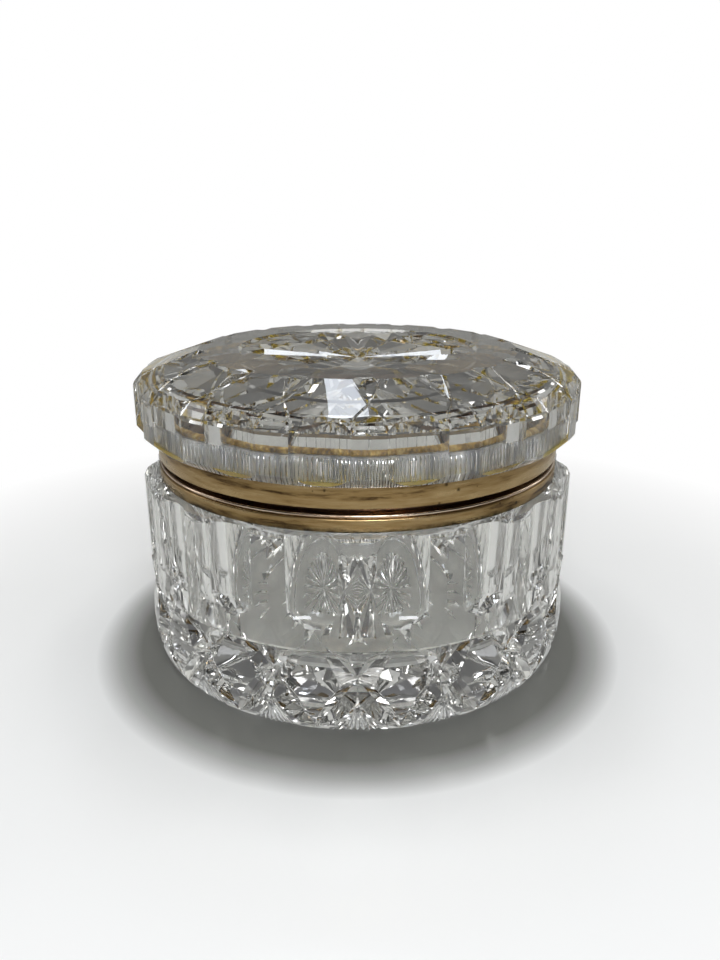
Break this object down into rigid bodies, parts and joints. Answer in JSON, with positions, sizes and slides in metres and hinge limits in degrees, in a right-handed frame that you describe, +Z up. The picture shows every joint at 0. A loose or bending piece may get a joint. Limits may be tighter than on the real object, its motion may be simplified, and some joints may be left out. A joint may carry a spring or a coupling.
{
  "type": "powder jar",
  "caption": "Round cut-glass powder jar with a hinged, overhanging cut-glass lid; both rims are bound in aged brass collars.",
  "frame": {"origin": "centre of the jar's foot, on the surface that it stands on", "axes": "+Z up along the jar's axis, +Y towards the hinge at the back, +X to the right seen from the front"},
  "size_m": [0.1198, 0.1202, 0.0823],
  "materials": {
    "crystal": "polished cut crystal",
    "aged_brass": "worn, tarnished in brown streaks",
    "dark_brass": "dark tarnish, still glossy",
    "plaster": "dry white bedding plaster",
    "old_cement": "yellowed adhesive"
  },
  "bodies": {
    "jar": {"jar_glass": "crystal", "jar_collar": "aged_brass", "jar_cement": "plaster", "jar_tongue": "dark_brass", "jar_bead": "dark_brass", "hinge_bearer_jar": "aged_brass", "hinge_pin": "aged_brass", "hinge_knuckle_jar_left": "aged_brass", "hinge_knuckle_jar_middle": "aged_brass", "hinge_knuckle_jar_right": "aged_brass"},
    "lid": {"lid_glass": "crystal", "lid_collar": "aged_brass", "lid_adhesive": "old_cement", "lid_plaster": "plaster", "lid_cement_fillet": "old_cement", "hinge_bearer_lid": "aged_brass", "hinge_knuckle_lid_left": "aged_brass", "hinge_knuckle_lid_right": "aged_brass"}
  },
  "joints": [
    {"name": "lid_hinge", "type": "hinge", "parent": "jar", "child": "lid", "pos_m": [0, 0.0576, 0.0556], "axis": [-1, 0, 0], "range_deg": [0, 100]}
  ]
}
